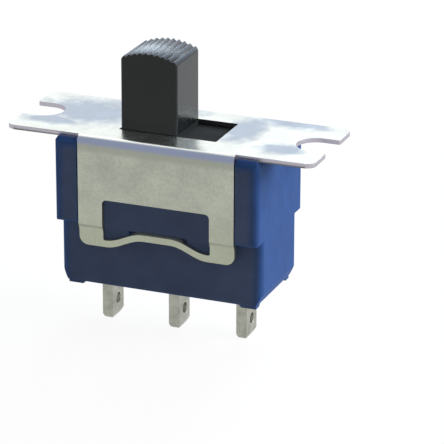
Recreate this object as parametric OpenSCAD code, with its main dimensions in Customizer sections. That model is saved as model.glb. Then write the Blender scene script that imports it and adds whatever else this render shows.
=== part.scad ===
// Miniature panel-mount slide switch, single pole, two positions.
// A folded sheet frame grips a moulded case. A knob slides in the frame's window, and its spring-loaded
// plunger tips a rocking contact from one end terminal to the other.
// The origin is the centre of the frame's top (panel) face. +X is the knob's travel, +Z is out of the panel.
// The knob is drawn at the left end of its travel.

/* [Frame] */
// Thickness of the frame's sheet
sheet_t = 0.3; // [0.2:0.05:0.4]
// Distance between the round ends of the two mounting slots
slot_spacing = 18.74; // [15:0.1:24]
// Width of each mounting slot
slot_w = 2.62; // [1.8:0.1:3.4]
// Distance from a slot's round centre to the open end of its ear
slot_land = 1.08; // [0.8:0.05:2]
// Corner radius of the ears
ear_corner_r = 0.55; // [0.2:0.05:1]
// Length of each folded side
side_l = 10.66; // [9:0.1:13]
// Depth of each folded side below the panel face
side_depth = 7.4; // [6.9:0.02:9]
// Corner radius at the bottom of each side
side_corner_r = 0.6; // [0.2:0.05:1]
// Outer radius of the folds
fold_r = 0.4; // [0.4:0.05:0.8]
// Length of the opening in each side
side_window_l = 7.34; // [5:0.1:8]
// Depth of the opening's top edge below the panel face
side_window_top = 4.15; // [2:0.1:5]
// Corner radius of the opening
side_window_r = 0.3; // [0.1:0.05:0.6]
// Height of the strap under each opening
strap_h = 0.45; // [0.3:0.05:0.8]
// Rise of the arch in the strap
arch_rise = 0.74; // [0.3:0.02:0.8]
// Length of the flat top of the arch
arch_top_l = 1.8; // [0.5:0.1:2.5]
// Flat left between the arch and each end of the opening
arch_land = 0.17; // [0.05:0.01:0.6]
// Inward set of the sides below the case's ledge
crimp = 0.16; // [0.1:0.01:0.3]
// Height over which the sides step inward
crimp_h = 0.45; // [0.3:0.05:0.6]
// Gap between the case and the folded sides
frame_fit = 0.02; // [0:0.01:0.05]

/* [Case] */
// Depth of the ledge that the frame grips, below the panel face
ledge_depth = 5.94; // [5:0.02:6.2]
// Width of the ledge along each side
ledge_w = 0.56; // [0.46:0.02:0.8]
// Overlap of the band under the ledge past each end of the opening
band_lap = 0.5; // [0.3:0.05:0.8]
// Length of the notch in the band behind the strap's arch
notch_l = 4.04; // [2:0.02:4.6]
// Gap between the top of the arch and the notch
notch_gap = 0.04; // [0.02:0.01:0.1]
// Step in from the upper block to the base at each end
end_step = 0.05; // [0.02:0.01:0.3]
// Depth of the base's underside below the panel face
case_depth = 10.32; // [9.7:0.02:13]
// Corner radius of the upper block and the base
case_corner_r = 0.4; // [0.1:0.05:0.6]
// Height of the ends' sides above the frame's folded sides
end_proud = 0.03; // [0:0.01:0.1]
// Gap between the folded sides' edges and the ends
end_gap = 0.08; // [0.04:0.01:0.15]
// Width of the bevel around the top
bevel_w = 0.22; // [0.1:0.02:0.3]
// Height of the bevel around the top
bevel_h = 0.38; // [0.2:0.02:0.6]
// Bevel along the bottom edges of the upper block
ledge_bevel = 0.12; // [0.05:0.01:0.2]
// Height of the taper at the foot of the end walls
taper_h = 0.85; // [0.4:0.05:1]
// Width of the taper at the foot of the end walls
taper_w = 0.44; // [0.1:0.02:0.5]
// Radius along the bottom edges
base_edge_r = 0.12; // [0.05:0.01:0.3]
// Height of the corner feet
foot_h = 0.18; // [0.1:0.01:0.4]
// Length of the corner feet
foot_l = 1.0; // [0.6:0.05:1.4]
// Width of the corner feet
foot_w = 0.55; // [0.3:0.05:0.7]
// Spread of the corner feet at their roots
foot_spread = 0.3; // [0.1:0.05:0.4]
// Wall between the slider's pocket and the frame's folded sides
side_wall = 0.95; // [0.7:0.05:1.4]
// Wall between the longest cavity and the end faces
end_wall = 0.73; // [0.6:0.01:1]
// Gap between the terminals' ends and the contact chamber's end walls
chamber_gap = 0.5; // [0.3:0.05:0.8]
// Depth of the recess for the terminal seal
seal_h = 0.6; // [0.3:0.05:0.8]
// Rim left around the terminal seal
seal_rim = 0.56; // [0.4:0.02:1]
// Depth of the seal's face inside its rim
seal_sink = 0.1; // [0.05:0.01:0.2]

/* [Slider] */
// Travel of the knob between its two positions
travel = 2.58; // [2:0.02:3.2]
// Length of the knob
knob_l = 3.86; // [3:0.05:5]
// Width of the knob
knob_w = 3.68; // [3:0.05:5]
// Height of the knob's end edges above the panel face
knob_h = 4.8; // [3.5:0.1:6]
// Rise of the knob's arched top
crown_h = 0.46; // [0.3:0.02:1]
// Number of ridges across the knob's top
ridge_count = 10; // [6:1:12]
// Depth of the grooves between the ridges
ridge_depth = 0.16; // [0.08:0.01:0.2]
// Edge radius of the knob
knob_edge_r = 0.15; // [0.05:0.05:0.3]
// Gap between the knob's ends and the window at the travel limits
window_end_gap = 0.11; // [0.05:0.01:0.2]
// Gap between the knob's sides and the window
window_side_gap = 0.08; // [0.04:0.01:0.15]
// Thickness of the slider's flange
flange_t = 1.1; // [0.8:0.05:1.4]
// Overlap of the flange past the window's ends at the travel limits
flange_end_lap = 0.32; // [0.2:0.02:0.6]
// Overlap of the flange past the window's sides
flange_side_lap = 0.7; // [0.5:0.05:1]
// Gap around the sliding flange
slide_gap = 0.06; // [0.03:0.01:0.08]
// Gap between the flange and the end wall at the travel limits
stop_gap = 0.02; // [0.01:0.01:0.05]
// Width of the spring housing under the flange
housing_w = 3.0; // [2.6:0.1:3.4]
// Wall of the spring housing at its ends
housing_wall = 0.7; // [0.5:0.05:0.9]
// Gap between the spring housing and the case
housing_gap = 0.1; // [0.05:0.01:0.2]

/* [Spring and plunger] */
// Radius of the plunger
plunger_r = 0.75; // [0.6:0.05:0.9]
// Radial clearance of the plunger in its bore
plunger_fit = 0.05; // [0.02:0.01:0.08]
// Length of the plunger's guided barrel
plunger_l = 1.9; // [1.4:0.1:2.5]
// Radius of the plunger's rounded tip
plunger_tip_r = 0.5; // [0.3:0.05:0.6]
// Length of the plunger's tip below its barrel
plunger_tip_l = 0.8; // [0.6:0.05:1]
// Distance from the plunger's tip to the spring housing
plunger_reach = 1.2; // [0.8:0.1:1.6]
// Radius of the spigot that centres the spring
spigot_r = 0.42; // [0.3:0.02:0.5]
// Length of the spigot
spigot_l = 0.8; // [0.4:0.1:1.2]
// Length of the compressed spring
spring_l = 4.6; // [3.5:0.1:6]
// Wire diameter of the spring
spring_wire = 0.2; // [0.12:0.02:0.26]
// Number of the spring's turns, with its closed ends
spring_turns = 11; // [8:1:14]

/* [Contacts and terminals] */
// Distance between neighbouring terminals
terminal_pitch = 4.7; // [3.8:0.1:5.7]
// Thickness of the terminals
terminal_t = 0.78; // [0.5:0.02:1]
// Width of the terminals
terminal_w = 1.68; // [1.2:0.02:2.2]
// Length of the terminals below the case
terminal_l = 3.32; // [2.5:0.02:6]
// Corner radius of the terminals' tips
terminal_tip_r = 0.3; // [0.1:0.05:0.5]
// Width of the bevels on the tips' faces
tip_bevel_w = 0.16; // [0.05:0.01:0.2]
// Height of the bevels on the tips' faces
tip_bevel_h = 0.32; // [0.1:0.02:0.5]
// Radius of the wire holes
wire_hole_r = 0.36; // [0.2:0.02:0.45]
// Distance from a wire hole's centre to the terminal's tip
wire_hole_up = 1.24; // [0.8:0.02:1.5]
// Depth of the rocker's axis below the panel face
pivot_depth = 7.9; // [7.5:0.05:8.1]
// Tilt of the rocker to each side
rocker_tilt = 6; // [4:0.5:8]
// Gap between the rocker's edges and the case
rocker_side_gap = 0.1; // [0.05:0.01:0.3]
// Thickness of the rocker
rocker_t = 0.5; // [0.4:0.05:0.7]
// Height of the rocker's flat underside above its axis
rocker_lift = 0.18; // [0.12:0.02:0.26]
// Step from the rocker's edges to the centre terminal's shoulders
shoulder_step = 0.3; // [0.1:0.05:0.4]
// Gap between the rocker's groove and the fulcrum
fulcrum_gap = 0.03; // [0.02:0.01:0.06]
// Gap between the plunger's tip and the rocker at mid travel
plunger_gap = 0.03; // [0.02:0.01:0.05]
// Distance from an end terminal's axis to its contact
contact_offset = 0.8; // [0.6:0.05:1.2]
// Radius of the contacts
contact_r = 0.6; // [0.4:0.05:0.8]
// Thickness of the fixed contacts
contact_t = 0.35; // [0.2:0.05:0.5]
// Thickness of the rocker's contacts at their rims
button_t = 0.16; // [0.1:0.02:0.3]
// Spherical radius of the rocker's domed contacts
dome_r = 1.5; // [1:0.1:3]
// Radius of the rivet shanks behind the contacts
shank_r = 0.3; // [0.2:0.02:0.4]
// Gap between the closed contacts
contact_gap = 0.02; // [0.01:0.01:0.04]

/* [Hidden] */
$fn = 48;

// Small overshoot of cutting tools past the faces that they cut
cut = 0.1;
// Metal left around a contact's rim on its arm or pad
arm_margin = 0.2;
// Straight steps along half of the strap's arch
arch_steps = 16;
// Facets around the rocker's domes
dome_facets = 96;

// Slider and window, in plan
window_l = knob_l + travel + 2 * window_end_gap;
window_w = knob_w + 2 * window_side_gap;
flange_l = window_l + travel + 2 * flange_end_lap;
flange_w = window_w + 2 * flange_side_lap;
pocket_l = flange_l + travel + 2 * stop_gap;
pocket_w = flange_w + 2 * slide_gap;
slider_x = -travel / 2;

// Case, in plan
chamber_l = 2 * terminal_pitch + terminal_t + 2 * chamber_gap;
chamber_w = housing_w + 2 * housing_gap;
case_l = max(pocket_l, chamber_l) + 2 * end_wall;
waist_w = pocket_w + 2 * side_wall;
base_l = case_l - 2 * end_step;
base_w = waist_w - 2 * ledge_w;
pocket_r = 0.3;

// Frame, in plan, and the case's ends beside its folded sides
frame_l = slot_spacing + 2 * slot_land;
side_y = waist_w / 2 + frame_fit + sheet_t;
low_side_y = side_y - crimp;
arch_base_l = side_window_l - 2 * arch_land;
bend_margin = 2 * fold_r;
case_w = 2 * (side_y + end_proud);
recess_l = side_l + 2 * end_gap;

// Heights of the slider's faces
flange_top = -sheet_t - slide_gap;
flange_bottom = flange_top - flange_t;
pocket_floor = flange_bottom - slide_gap;

// Rocker in its own level position: its axis is the origin
rocker_w = chamber_w - 2 * rocker_side_gap;
groove_r = terminal_t / 2 + fulcrum_gap;
rocker_top = rocker_lift + rocker_t;
arm_bend = 2 * rocker_tilt;
flat_half = travel / 4;
contact_x = terminal_pitch - contact_offset;
arm_reach = (contact_x - flat_half) / cos(arm_bend);
arm_l = arm_reach + contact_r + arm_margin;
dome_drop = sqrt(dome_r * dome_r - contact_r * contact_r);
dome_centre = [
    flat_half + arm_reach * cos(arm_bend) - (dome_drop - button_t) * sin(arm_bend),
    rocker_lift + arm_reach * sin(arm_bend) + (dome_drop - button_t) * cos(arm_bend)];

// Lowest point of the domed contact that is closed
closed_x = dome_centre.x * cos(rocker_tilt) + dome_centre.y * sin(rocker_tilt);
closed_z = -pivot_depth - dome_centre.x * sin(rocker_tilt) + dome_centre.y * cos(rocker_tilt) - dome_r;
contact_top = closed_z - contact_gap;
floor_z = contact_top - contact_t;
pad_bottom = floor_z - terminal_t;
pad_tip_x = closed_x - contact_r - arm_margin;

// Plunger and spring, from the tip up
tip_z = -pivot_depth + rocker_top + plunger_gap;
housing_bottom = tip_z + plunger_reach;
housing_l = 2 * (plunger_r + plunger_fit + housing_wall);
barrel_bottom = tip_z + plunger_tip_l;
barrel_top = barrel_bottom + plunger_l;
spring_top = barrel_top + spring_l;
spring_r = plunger_r - spring_wire / 2;
bore_r = plunger_r + plunger_fit;

// Terminals
tip_low = -case_depth - terminal_l;
hole_z = tip_low + wire_hole_up;
shoulder_w = rocker_w - 2 * shoulder_step;

// A shape drawn in X and Z, extruded along Y
module along_y(depth) {
    rotate([90, 0, 0]) linear_extrude(depth, center = true) children();
}

// A shape drawn in Y and Z, extruded along X
module along_x(length) {
    rotate([90, 0, 90]) linear_extrude(length, center = true) children();
}

module both_sides() {
    children();
    mirror([0, 1, 0]) children();
}

module both_ends() {
    children();
    mirror([1, 0, 0]) children();
}

// A rectangle with round corners, centred on the origin
module round_rect(l, w, r) {
    square([l - 2 * r, w], center = true);
    square([l, w - 2 * r], center = true);
    for (x = [-1, 1], y = [-1, 1])
        translate([x * (l / 2 - r), y * (w / 2 - r)]) circle(r);
}

// A box between two corners, centred on Y
module block(x0, x1, width, z0, z1) {
    translate([x0, -width / 2, z0]) cube([x1 - x0, width, z1 - z0]);
}

// ---- Frame ----

module panel_outline() {
    difference() {
        union() {
            square([side_l, 2 * (side_y - fold_r)], center = true);
            round_rect(frame_l, waist_w, ear_corner_r);
        }
        square([window_l, window_w], center = true);
        both_ends() mounting_slot();
    }
}

module mounting_slot() {
    translate([slot_spacing / 2, 0]) circle(slot_w / 2);
    translate([slot_spacing / 2, -slot_w / 2]) square([slot_land + cut, slot_w]);
}

// Fold and joggled leg of one side, in Y and Z
module side_section() {
    translate([side_y - fold_r, -fold_r]) intersection() {
        difference() {
            circle(fold_r);
            circle(fold_r - sheet_t);
        }
        square(fold_r);
    }
    step_top = -ledge_depth - frame_fit;
    polygon([
        [side_y, -fold_r], [side_y, step_top], [low_side_y, step_top - crimp_h],
        [low_side_y, -side_depth], [low_side_y - sheet_t, -side_depth],
        [low_side_y - sheet_t, step_top - crimp_h], [side_y - sheet_t, step_top],
        [side_y - sheet_t, -fold_r]]);
}

// Height of the strap's arch at x, from 0 at its foot to 1 along its top
function arch(x) =
    let (u = (abs(x) - arch_top_l / 2) / ((arch_base_l - arch_top_l) / 2))
    u <= 0 ? 1 : u >= 1 ? 0 : (1 + cos(180 * u)) / 2;

// Points along the arch at height z
function arch_line(z) = [for (i = [-arch_steps:arch_steps])
    let (x = i / arch_steps * arch_base_l / 2) [x, z + arch_rise * arch(x)]];

// Outline of one side with its opening, which runs out at the bottom: the strap closes it
module side_outline() {
    window_h = side_depth - side_window_top + side_window_r + cut;
    difference() {
        union() {
            translate([0, -side_depth / 2]) round_rect(side_l, side_depth, side_corner_r);
            translate([0, -side_corner_r]) square([side_l, 2 * side_corner_r], center = true);
        }
        translate([0, -side_window_top - window_h / 2]) round_rect(side_window_l, window_h, side_window_r);
    }
}

module strap_outline() {
    strap_l = side_window_l + 2 * side_window_r;
    low = -side_depth;
    high = low + strap_h;
    difference() {
        union() {
            translate([-strap_l / 2, low]) square([strap_l, strap_h]);
            polygon(concat([[-arch_base_l / 2, low], [arch_base_l / 2, low]],
                [for (i = [2 * arch_steps:-1:0]) arch_line(high)[i]]));
        }
        polygon(concat([[-arch_base_l / 2, low - cut], [-arch_base_l / 2, low]],
            arch_line(low), [[arch_base_l / 2, low - cut]]));
    }
}

module folded_side() {
    intersection() {
        along_x(side_l) side_section();
        translate([0, side_y, 0]) along_y(bend_margin + 2 * crimp) side_outline();
    }
    translate([0, low_side_y - sheet_t / 2, 0]) along_y(sheet_t) strap_outline();
}

module frame() {
    color([0.72, 0.74, 0.70]) {
        translate([0, 0, -sheet_t]) linear_extrude(sheet_t) panel_outline();
        both_sides() folded_side();
    }
}

// ---- Case ----

module upper_block() {
    difference() {
        intersection() {
            translate([0, 0, -ledge_depth])
                linear_extrude(ledge_depth - sheet_t) round_rect(case_l, case_w, case_corner_r);
            along_x(case_l) bevelled_outline(case_w);
            along_y(case_w) bevelled_outline(case_l);
        }
        both_sides() side_recess();
    }
}

// Outline of the upper block seen from an end or a side, with its bevels
module bevelled_outline(w) {
    low = -ledge_depth;
    high = -sheet_t;
    polygon([
        [-w / 2 + ledge_bevel, low], [w / 2 - ledge_bevel, low], [w / 2, low + ledge_bevel],
        [w / 2, high - bevel_h], [w / 2 - bevel_w, high], [-w / 2 + bevel_w, high],
        [-w / 2, high - bevel_h], [-w / 2, low + ledge_bevel]]);
}

// Recess for one folded side, with room for the inside of its fold
module side_recess() {
    inner = waist_w / 2;
    outer = case_w / 2 + cut;
    along_x(recess_l) polygon([
        [inner, -ledge_depth - cut], [outer, -ledge_depth - cut], [outer, cut],
        [inner - fold_r, cut], [inner - fold_r, -sheet_t], [inner, -sheet_t - fold_r]]);
}

module base_block() {
    top = -ledge_depth + cut;
    intersection() {
        translate([0, 0, -case_depth])
            linear_extrude(top + case_depth) round_rect(base_l, base_w, case_corner_r);
        along_y(base_w) polygon([
            [-base_l / 2, top], [-base_l / 2, -case_depth + taper_h],
            [-base_l / 2 + taper_w, -case_depth], [base_l / 2 - taper_w, -case_depth],
            [base_l / 2, -case_depth + taper_h], [base_l / 2, top]]);
        along_x(base_l) {
            translate([0, (top - case_depth) / 2])
                round_rect(base_w, top + case_depth, base_edge_r);
            translate([0, top - base_edge_r]) square([base_w, 2 * base_edge_r], center = true);
        }
    }
}

// Band under the ledge that backs the frame's sides and strap, notched behind the strap's arch
module ledge_band() {
    top = -ledge_depth + cut;
    outer = waist_w / 2;
    inner = outer - crimp;
    low = -side_depth + strap_h;
    difference() {
        along_x(side_window_l + 2 * band_lap) polygon([
            [-inner, top], [-inner, -ledge_depth], [-outer, -ledge_depth],
            [-inner, -ledge_depth - crimp_h], [-inner, low], [inner, low],
            [inner, -ledge_depth - crimp_h], [outer, -ledge_depth], [inner, -ledge_depth], [inner, top]]);
        block(-notch_l / 2, notch_l / 2, waist_w, low - cut, low + arch_rise + notch_gap);
    }
}

// Feet under the base's corners, wider at their roots on the inner sides
module corner_feet() {
    both_sides() both_ends() intersection() {
        along_y(base_w) foot_side(base_l / 2 - taper_w, foot_l);
        along_x(base_l) foot_side(base_w / 2 - base_edge_r, foot_w);
    }
}

// One foot seen from a side, ending at the distance outer from the middle
module foot_side(outer, l) {
    root = -case_depth + seal_sink;
    polygon([
        [outer - l - foot_spread, root], [outer - l, -case_depth - foot_h],
        [outer, -case_depth - foot_h], [outer, root]]);
}

module case_cavities() {
    translate([0, 0, pocket_floor])
        linear_extrude(-pocket_floor) round_rect(pocket_l, pocket_w, pocket_r);
    block(-chamber_l / 2, chamber_l / 2, chamber_w, floor_z, pocket_floor + cut);
    both_ends() block(pad_tip_x, terminal_pitch + terminal_t / 2, terminal_w, pad_bottom, floor_z + cut);
    block(-terminal_t / 2, terminal_t / 2, shoulder_w, pad_bottom, floor_z + cut);
    for (i = [-1, 0, 1])
        translate([i * terminal_pitch, 0, 0])
            block(-terminal_t / 2, terminal_t / 2, terminal_w, -case_depth - cut, pad_bottom + cut);
    translate([0, 0, -case_depth - cut]) linear_extrude(seal_h + cut) seal_outline();
}

module case() {
    color([0.13, 0.27, 0.52]) {
        difference() {
            union() {
                upper_block();
                base_block();
                ledge_band();
            }
            case_cavities();
        }
        corner_feet();
    }
}

module seal_outline() {
    round_rect(base_l - 2 * taper_w - 2 * seal_rim, base_w - 2 * seal_rim, pocket_r);
}

module terminal_seal() {
    color([0.16, 0.15, 0.14]) difference() {
        translate([0, 0, -case_depth + seal_sink]) linear_extrude(seal_h - seal_sink) seal_outline();
        for (i = [-1, 0, 1])
            translate([i * terminal_pitch, 0, 0])
                block(-terminal_t / 2, terminal_t / 2, terminal_w, -case_depth - cut, -case_depth + seal_h + cut);
    }
}

// ---- Slider ----

// Height of the knob's top at x from its middle, along a circle through its end edges and crown
crown_r = (knob_l * knob_l / 4 + crown_h * crown_h) / (2 * crown_h);
function crown(x) = knob_h + crown_h - crown_r + sqrt(crown_r * crown_r - x * x);

// Ridges and the grooves between them, from right to left
function ridge_points() = [for (i = [2 * ridge_count:-1:0])
    let (x = (i / ridge_count - 1) * knob_l / 2)
    [x, crown(x) - (i % 2 == 0 ? ridge_depth : 0)]];

module knob_block() {
    intersection() {
        along_y(knob_w) polygon(concat(
            [[-knob_l / 2, flange_bottom], [knob_l / 2, flange_bottom]], ridge_points()));
        translate([0, 0, flange_bottom])
            linear_extrude(knob_h + crown_h - flange_bottom) round_rect(knob_l, knob_w, knob_edge_r);
    }
}

module knob() {
    color([0.14, 0.15, 0.16]) translate([slider_x, 0, 0]) difference() {
        union() {
            knob_block();
            translate([0, 0, flange_bottom])
                linear_extrude(flange_t) round_rect(flange_l, flange_w, pocket_r);
            block(-housing_l / 2, housing_l / 2, housing_w, housing_bottom, flange_bottom + cut);
        }
        translate([0, 0, housing_bottom - cut]) cylinder(spring_top - housing_bottom + cut, bore_r, bore_r);
    }
}

module plunger() {
    color([0.85, 0.83, 0.76]) translate([slider_x, 0, 0]) {
        translate([0, 0, tip_z + plunger_tip_r]) sphere(plunger_tip_r);
        translate([0, 0, tip_z + plunger_tip_r])
            cylinder(barrel_bottom - tip_z - plunger_tip_r + cut, plunger_tip_r, plunger_tip_r);
        translate([0, 0, barrel_bottom]) cylinder(plunger_l, plunger_r, plunger_r);
        translate([0, 0, barrel_top - cut]) cylinder(spigot_l + cut, spigot_r, spigot_r);
    }
}

// Rings along the spring's helix, with closed turns at both ends
ring_sides = 8;
rings_per_turn = 16;
ring_n = spring_turns * rings_per_turn;
end_turns = 1.5;
wire_z0 = spring_wire / 2;
open_pitch = (spring_l - 2 * wire_z0 - 2 * end_turns * spring_wire) / (spring_turns - 2 * end_turns);
function helix_z(turn) =
    turn < end_turns ? wire_z0 + turn * spring_wire
    : turn > spring_turns - end_turns ? spring_l - wire_z0 - (spring_turns - turn) * spring_wire
    : wire_z0 + end_turns * spring_wire + (turn - end_turns) * open_pitch;
function ring(i) =
    let (a = 360 * i / rings_per_turn, z = helix_z(i / rings_per_turn))
    [for (k = [0:ring_sides - 1])
        let (b = 360 * (k + 0.5) / ring_sides, r = spring_r + spring_wire / 2 * cos(b))
        [r * cos(a), r * sin(a), z + spring_wire / 2 * sin(b)]];

module contact_spring() {
    points = [for (i = [0:ring_n]) each ring(i)];
    walls = [for (i = [0:ring_n - 1], k = [0:ring_sides - 1])
        let (a = i * ring_sides + k, b = i * ring_sides + (k + 1) % ring_sides)
        [a, a + ring_sides, b + ring_sides, b]];
    start = [for (k = [0:ring_sides - 1]) k];
    finish = [for (k = [ring_sides - 1:-1:0]) ring_n * ring_sides + k];
    color([0.75, 0.76, 0.78]) translate([slider_x, 0, barrel_top])
        polyhedron(points, concat([start, finish], walls));
}

// ---- Rocker ----

// Places children drawn with the rocker level about its axis, tipped to the left contact
module on_rocker() {
    translate([0, 0, -pivot_depth]) rotate([0, -rocker_tilt, 0]) children();
}

// Places children with Z along the normal of one arm, above that arm's contact
module on_arm() {
    translate([flat_half, 0, rocker_lift]) rotate([0, -arm_bend, 0]) translate([arm_reach, 0, 0]) children();
}

module rocker_outline() {
    thin = rocker_t / cos(rocker_tilt);
    slope = tan(arm_bend);
    end_x = flat_half + arm_l * cos(arm_bend);
    rise = (end_x - flat_half) * slope;
    polygon([
        [-end_x, rocker_lift + rise], [-flat_half, rocker_lift], [flat_half, rocker_lift],
        [end_x, rocker_lift + rise], [end_x, rocker_lift + rise + thin], [flat_half, rocker_top],
        [-flat_half, rocker_top], [-end_x, rocker_lift + rise + thin]]);
}

module rocker() {
    color([0.80, 0.55, 0.36]) on_rocker() difference() {
        along_y(rocker_w) rocker_outline();
        rotate([90, 0, 0]) cylinder(rocker_w + 2 * cut, groove_r, groove_r, center = true);
        both_ends() on_arm() translate([0, 0, -cut]) cylinder(rocker_t + 3 * cut, shank_r, shank_r);
    }
}

// Rim and dome under an arm, with the shank through it
module rocker_button() {
    on_arm() {
        translate([0, 0, -button_t]) cylinder(button_t, contact_r, contact_r);
        intersection() {
            translate([0, 0, dome_drop - button_t]) sphere(dome_r, $fn = dome_facets);
            translate([0, 0, -button_t - dome_r]) cylinder(dome_r + cut, contact_r, contact_r);
        }
        cylinder(rocker_t, shank_r, shank_r);
    }
}

module rocker_contact_left() {
    color([0.86, 0.86, 0.84]) on_rocker() mirror([1, 0, 0]) rocker_button();
}

module rocker_contact_right() {
    color([0.86, 0.86, 0.84]) on_rocker() rocker_button();
}

// ---- Terminals ----

module fixed_contact() {
    translate([closed_x, 0, floor_z]) cylinder(contact_t, contact_r, contact_r);
    translate([closed_x, 0, pad_bottom]) cylinder(terminal_t + cut, shank_r, shank_r);
}

module contact_left() {
    color([0.86, 0.86, 0.84]) mirror([1, 0, 0]) fixed_contact();
}

module contact_right() {
    color([0.86, 0.86, 0.84]) fixed_contact();
}

// Flat lug from its rounded, bevelled tip up to the height top, with its wire hole
module lug(top) {
    half_t = terminal_t / 2;
    difference() {
        intersection() {
            along_x(terminal_t) {
                translate([0, (tip_low + top) / 2]) round_rect(terminal_w, top - tip_low, terminal_tip_r);
                translate([0, top - terminal_tip_r]) square([terminal_w, 2 * terminal_tip_r], center = true);
            }
            along_y(terminal_w) polygon([
                [-half_t, top], [-half_t, tip_low + tip_bevel_h], [-half_t + tip_bevel_w, tip_low],
                [half_t - tip_bevel_w, tip_low], [half_t, tip_low + tip_bevel_h], [half_t, top]]);
        }
        translate([0, 0, hole_z]) rotate([0, 90, 0])
            cylinder(terminal_t + 2 * cut, wire_hole_r, wire_hole_r, center = true);
    }
}

// Lug bent inward at its top into the pad that carries the fixed contact
module end_terminal() {
    inner_x = terminal_pitch - terminal_t / 2;
    difference() {
        union() {
            translate([terminal_pitch, 0, 0]) lug(pad_bottom);
            along_y(terminal_w) {
                translate([inner_x, pad_bottom]) intersection() {
                    circle(terminal_t);
                    square(terminal_t);
                }
                translate([pad_tip_x, pad_bottom]) square([inner_x - pad_tip_x, terminal_t]);
            }
        }
        translate([closed_x, 0, pad_bottom - cut]) cylinder(terminal_t + 2 * cut, shank_r, shank_r);
    }
}

module terminal_left() {
    color([0.74, 0.74, 0.68]) mirror([1, 0, 0]) end_terminal();
}

module terminal_right() {
    color([0.74, 0.74, 0.68]) end_terminal();
}

// Lug with shoulders in the case's floor and a round top edge that the rocker sits on
module terminal_centre() {
    color([0.74, 0.74, 0.68]) {
        lug(pad_bottom + cut);
        block(-terminal_t / 2, terminal_t / 2, shoulder_w, pad_bottom, -pivot_depth);
        translate([0, 0, -pivot_depth]) rotate([90, 0, 0])
            cylinder(shoulder_w, terminal_t / 2, terminal_t / 2, center = true);
    }
}

frame();
case();
knob();
contact_spring();
plunger();
rocker();
rocker_contact_left();
rocker_contact_right();
contact_left();
contact_right();
terminal_left();
terminal_centre();
terminal_right();
terminal_seal();
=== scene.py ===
"""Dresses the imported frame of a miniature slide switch: folded tin-plated frame, blue moulded case,
ridged black knob, and the contact parts inside."""

import math

import bmesh
import bpy
from bpy.props import FloatProperty, FloatVectorProperty, IntProperty, PointerProperty
from mathutils import Matrix, Vector
from mathutils.geometry import delaunay_2d_cdt


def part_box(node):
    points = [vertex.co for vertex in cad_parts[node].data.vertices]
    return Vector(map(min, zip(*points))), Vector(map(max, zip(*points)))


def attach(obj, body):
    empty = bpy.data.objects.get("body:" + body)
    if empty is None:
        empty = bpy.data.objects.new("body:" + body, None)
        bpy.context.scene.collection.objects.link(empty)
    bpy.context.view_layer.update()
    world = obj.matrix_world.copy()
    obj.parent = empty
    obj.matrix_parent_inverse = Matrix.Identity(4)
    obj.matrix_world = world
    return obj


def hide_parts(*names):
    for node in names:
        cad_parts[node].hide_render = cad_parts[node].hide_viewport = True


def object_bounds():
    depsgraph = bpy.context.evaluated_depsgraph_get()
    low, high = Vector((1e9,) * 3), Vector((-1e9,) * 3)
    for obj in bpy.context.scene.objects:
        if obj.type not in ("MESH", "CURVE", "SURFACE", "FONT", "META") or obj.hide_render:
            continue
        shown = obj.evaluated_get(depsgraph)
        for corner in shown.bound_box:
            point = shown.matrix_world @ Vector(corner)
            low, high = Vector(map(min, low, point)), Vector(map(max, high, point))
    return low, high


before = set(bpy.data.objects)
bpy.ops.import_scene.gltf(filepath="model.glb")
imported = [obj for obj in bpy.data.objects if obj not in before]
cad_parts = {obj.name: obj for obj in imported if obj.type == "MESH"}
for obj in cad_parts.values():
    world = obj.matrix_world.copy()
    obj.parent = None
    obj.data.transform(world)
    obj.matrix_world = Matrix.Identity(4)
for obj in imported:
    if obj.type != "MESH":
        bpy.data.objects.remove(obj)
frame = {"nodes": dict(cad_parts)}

bl_info = {
    "name": "Slide switch looks",
    "version": (1, 0, 0),
    "blender": (4, 5, 0),
    "location": "View3D > Sidebar > Switch",
    "description": "Makes the finished pieces of a panel-mount slide switch in place",
    "category": "Object",
}

MM = 0.001
TOUCHING = 0.0002 * MM  # points closer than this are one point
CAD_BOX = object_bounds()
FRAME_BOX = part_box("frame")
CASE_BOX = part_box("case")
KNOB_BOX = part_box("knob")
SPRING_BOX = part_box("contact_spring")


# ---- Sizes and colours that a user would change ----


def length(name, description, value):
    """A size in metres, given here in millimetres."""
    return FloatProperty(
        name=name, description=description, default=value * MM, min=0, unit="LENGTH", precision=5)


def colour(name, description, rgb):
    return FloatVectorProperty(
        name=name, description=description, default=rgb, min=0, max=1, subtype="COLOR", size=3)


def amount(name, description, value, low, high):
    return FloatProperty(name=name, description=description, default=value, min=low, max=high)


def turned_by(name, description, degrees):
    """An angle in radians, given here in degrees."""
    return FloatProperty(name=name, description=description, default=math.radians(degrees), subtype="ANGLE")


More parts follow.
